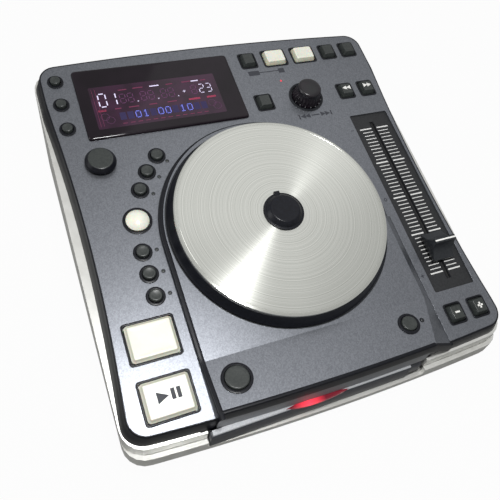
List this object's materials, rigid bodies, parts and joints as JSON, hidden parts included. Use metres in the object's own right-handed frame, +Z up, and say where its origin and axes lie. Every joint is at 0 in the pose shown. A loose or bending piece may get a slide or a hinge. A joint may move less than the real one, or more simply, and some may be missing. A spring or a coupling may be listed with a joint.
{
  "type": "tabletop disc player",
  "caption": "Wedge-shaped tabletop disc player for mixing, with a jog platter, a sliding disc tray, a pitch fader, a push knob and sprung buttons.",
  "frame": {"origin": "centre of the whole on the table, at the bottom of the rubber feet", "axes": "+X to the right, +Y to the back, +Z up; the panel slopes up towards +Y"},
  "size_m": [0.217, 0.232, 0.0866],
  "materials": {
    "silver_case": "pale silver satin moulding",
    "panel_grey": "metallic grey paint with fine sparkle",
    "black_plastic": "satin charcoal moulding",
    "gloss_black": "glossy dark",
    "steel": "bright sheet steel",
    "platter_aluminium": "fine circular brushing",
    "rubber": "matte",
    "key_grey": "satin dark grey",
    "milky_plastic": "milky translucent",
    "board_green": "solder resist",
    "brass": "plain",
    "white_plastic": "natural acetal",
    "red_lens": "lit red lens"
  },
  "bodies": {
    "case": {"bottom_plate": "steel", "feet": "rubber", "lower_case": "silver_case", "side_case": "silver_case", "top_cover": "black_plastic", "panel_plate": "panel_grey", "deck_plate": "panel_grey", "display_window": "gloss_black", "display_module": "gloss_black", "fader_plate": "black_plastic", "fader_body": "steel", "control_board": "board_green", "main_board": "board_green", "rear_panel": "steel", "rear_jacks": "brass", "power_inlet": "black_plastic", "drive_chassis": "steel", "platter_bearing": "brass", "case_screws": "steel"},
    "platter": {"platter_disc": "platter_aluminium", "platter_rim": "black_plastic", "hub_cap": "black_plastic", "platter_spindle": "steel", "encoder_disc": "black_plastic"},
    "tray": {"tray": "black_plastic", "tray_front": "black_plastic", "tray_lens": "red_lens"},
    "loading_gear": {"loading_gear": "white_plastic"},
    "laser_sled": {"laser_sled": "black_plastic"},
    "turntable": {"turntable": "white_plastic"},
    "knob_shaft": {"knob_shaft": "steel"},
    "parameter_knob": {"parameter_knob": "black_plastic"},
    "fader": {"fader_cap": "black_plastic", "fader_lever": "steel"},
    "power_button": {"power_button": "key_grey"},
    "title_button": {"title_button": "key_grey"},
    "memory_button": {"memory_button": "key_grey"},
    "time_button": {"time_button": "key_grey"},
    "tap_button": {"tap_button": "key_grey"},
    "echo_button": {"echo_button": "key_grey"},
    "flanger_button": {"flanger_button": "key_grey"},
    "filter_button": {"filter_button": "key_grey"},
    "mode_button": {"mode_button": "milky_plastic"},
    "drag_button": {"drag_button": "key_grey"},
    "brake_button": {"brake_button": "key_grey"},
    "reverse_button": {"reverse_button": "key_grey"},
    "cue_button": {"cue_button": "milky_plastic"},
    "play_button": {"play_button": "milky_plastic"},
    "flip_button": {"flip_button": "key_grey"},
    "loop_a1_button": {"loop_a1_button": "milky_plastic"},
    "loop_a2_button": {"loop_a2_button": "milky_plastic"},
    "loop_b_button": {"loop_b_button": "key_grey"},
    "exit_button": {"exit_button": "key_grey"},
    "next_button": {"next_button": "key_grey"},
    "search_back_button": {"search_back_button": "key_grey"},
    "search_forward_button": {"search_forward_button": "key_grey"},
    "bend_down_button": {"bend_down_button": "key_grey"},
    "bend_up_button": {"bend_up_button": "key_grey"},
    "eject_button": {"eject_button": "key_grey"},
    "pitch_button": {"pitch_button": "key_grey"}
  },
  "joints": [
    {"name": "tray_slide", "type": "slide", "parent": "case", "child": "tray", "axis": [0, -1, 0], "range_m": [0, 0.128]},
    {"name": "loading_gear_spin", "type": "hinge", "parent": "case", "child": "loading_gear", "pos_m": [-0.054, -0.0977, 0.0221], "axis": [0, 0, 1], "range_deg": [-10, 930]},
    {"name": "platter_spin", "type": "hinge", "parent": "case", "child": "platter", "pos_m": [0, -0.021, 0.05812], "axis": [0, -0.2079, 0.9781], "continuous": true},
    {"name": "knob_push", "type": "slide", "parent": "case", "child": "knob_shaft", "axis": [0, 0.2079, -0.9781], "range_m": [0, 0.0008], "stiffness_N_per_m": 800},
    {"name": "knob_spin", "type": "hinge", "parent": "knob_shaft", "child": "parameter_knob", "pos_m": [0.0493, 0.05715, 0.07474], "axis": [0, -0.2079, 0.9781], "continuous": true},
    {"name": "fader_slide", "type": "slide", "parent": "case", "child": "fader", "axis": [0, 0.9781, 0.2079], "range_m": [-0.0137, 0.0863]},
    {"name": "sled_slide", "type": "slide", "parent": "case", "child": "laser_sled", "axis": [0, 1, 0], "range_m": [0, 0.036]},
    {"name": "turntable_spin", "type": "hinge", "parent": "case", "child": "turntable", "pos_m": [-0.00785, -0.0477, 0.0249], "axis": [0, 0, 1], "continuous": true},
    {"name": "power_push", "type": "slide", "parent": "case", "child": "power_button", "axis": [0, -1, 0], "range_m": [0, 0.0025], "stiffness_N_per_m": 600},
    {"name": "title_push", "type": "slide", "parent": "case", "child": "title_button", "axis": [0, 0.2079, -0.9781], "range_m": [0, 0.0012], "stiffness_N_per_m": 500},
    {"name": "memory_push", "type": "slide", "parent": "case", "child": "memory_button", "axis": [0, 0.2079, -0.9781], "range_m": [0, 0.0012], "stiffness_N_per_m": 500},
    {"name": "time_push", "type": "slide", "parent": "case", "child": "time_button", "axis": [0, 0.2079, -0.9781], "range_m": [0, 0.0012], "stiffness_N_per_m": 500},
    {"name": "tap_push", "type": "slide", "parent": "case", "child": "tap_button", "axis": [0, 0.2079, -0.9781], "range_m": [0, 0.0012], "stiffness_N_per_m": 500},
    {"name": "echo_push", "type": "slide", "parent": "case", "child": "echo_button", "axis": [0, 0.2079, -0.9781], "range_m": [0, 0.0012], "stiffness_N_per_m": 500},
    {"name": "flanger_push", "type": "slide", "parent": "case", "child": "flanger_button", "axis": [0, 0.2079, -0.9781], "range_m": [0, 0.0012], "stiffness_N_per_m": 500},
    {"name": "filter_push", "type": "slide", "parent": "case", "child": "filter_button", "axis": [0, 0.2079, -0.9781], "range_m": [0, 0.0012], "stiffness_N_per_m": 500},
    {"name": "mode_push", "type": "slide", "parent": "case", "child": "mode_button", "axis": [0, 0.2079, -0.9781], "range_m": [0, 0.0012], "stiffness_N_per_m": 500},
    {"name": "drag_push", "type": "slide", "parent": "case", "child": "drag_button", "axis": [0, 0.2079, -0.9781], "range_m": [0, 0.0012], "stiffness_N_per_m": 500},
    {"name": "brake_push", "type": "slide", "parent": "case", "child": "brake_button", "axis": [0, 0.2079, -0.9781], "range_m": [0, 0.0012], "stiffness_N_per_m": 500},
    {"name": "reverse_push", "type": "slide", "parent": "case", "child": "reverse_button", "axis": [0, 0.2079, -0.9781], "range_m": [0, 0.0012], "stiffness_N_per_m": 500},
    {"name": "cue_push", "type": "slide", "parent": "case", "child": "cue_button", "axis": [0, 0.2079, -0.9781], "range_m": [0, 0.0012], "stiffness_N_per_m": 500},
    {"name": "play_push", "type": "slide", "parent": "case", "child": "play_button", "axis": [0, 0.2079, -0.9781], "range_m": [0, 0.0012], "stiffness_N_per_m": 500},
    {"name": "flip_push", "type": "slide", "parent": "case", "child": "flip_button", "axis": [0, 0.2079, -0.9781], "range_m": [0, 0.0012], "stiffness_N_per_m": 500},
    {"name": "loop_a1_push", "type": "slide", "parent": "case", "child": "loop_a1_button", "axis": [0, 0.2079, -0.9781], "range_m": [0, 0.0012], "stiffness_N_per_m": 500},
    {"name": "loop_a2_push", "type": "slide", "parent": "case", "child": "loop_a2_button", "axis": [0, 0.2079, -0.9781], "range_m": [0, 0.0012], "stiffness_N_per_m": 500},
    {"name": "loop_b_push", "type": "slide", "parent": "case", "child": "loop_b_button", "axis": [0, 0.2079, -0.9781], "range_m": [0, 0.0012], "stiffness_N_per_m": 500},
    {"name": "exit_push", "type": "slide", "parent": "case", "child": "exit_button", "axis": [0, 0.2079, -0.9781], "range_m": [0, 0.0012], "stiffness_N_per_m": 500},
    {"name": "next_push", "type": "slide", "parent": "case", "child": "next_button", "axis": [0, 0.2079, -0.9781], "range_m": [0, 0.0012], "stiffness_N_per_m": 500},
    {"name": "search_back_push", "type": "slide", "parent": "case", "child": "search_back_button", "axis": [0, 0.2079, -0.9781], "range_m": [0, 0.0012], "stiffness_N_per_m": 500},
    {"name": "search_forward_push", "type": "slide", "parent": "case", "child": "search_forward_button", "axis": [0, 0.2079, -0.9781], "range_m": [0, 0.0012], "stiffness_N_per_m": 500},
    {"name": "bend_down_push", "type": "slide", "parent": "case", "child": "bend_down_button", "axis": [0, 0.2079, -0.9781], "range_m": [0, 0.0012], "stiffness_N_per_m": 500},
    {"name": "bend_up_push", "type": "slide", "parent": "case", "child": "bend_up_button", "axis": [0, 0.2079, -0.9781], "range_m": [0, 0.0012], "stiffness_N_per_m": 500},
    {"name": "eject_push", "type": "slide", "parent": "case", "child": "eject_button", "axis": [0, 0, -1], "range_m": [0, 0.0012], "stiffness_N_per_m": 500},
    {"name": "pitch_push", "type": "slide", "parent": "case", "child": "pitch_button", "axis": [0, 0, -1], "range_m": [0, 0.0012], "stiffness_N_per_m": 500}
  ],
  "couplings": [
    {"joint": "loading_gear_spin", "follows": "tray_slide", "rad_per_m": 125}
  ]
}
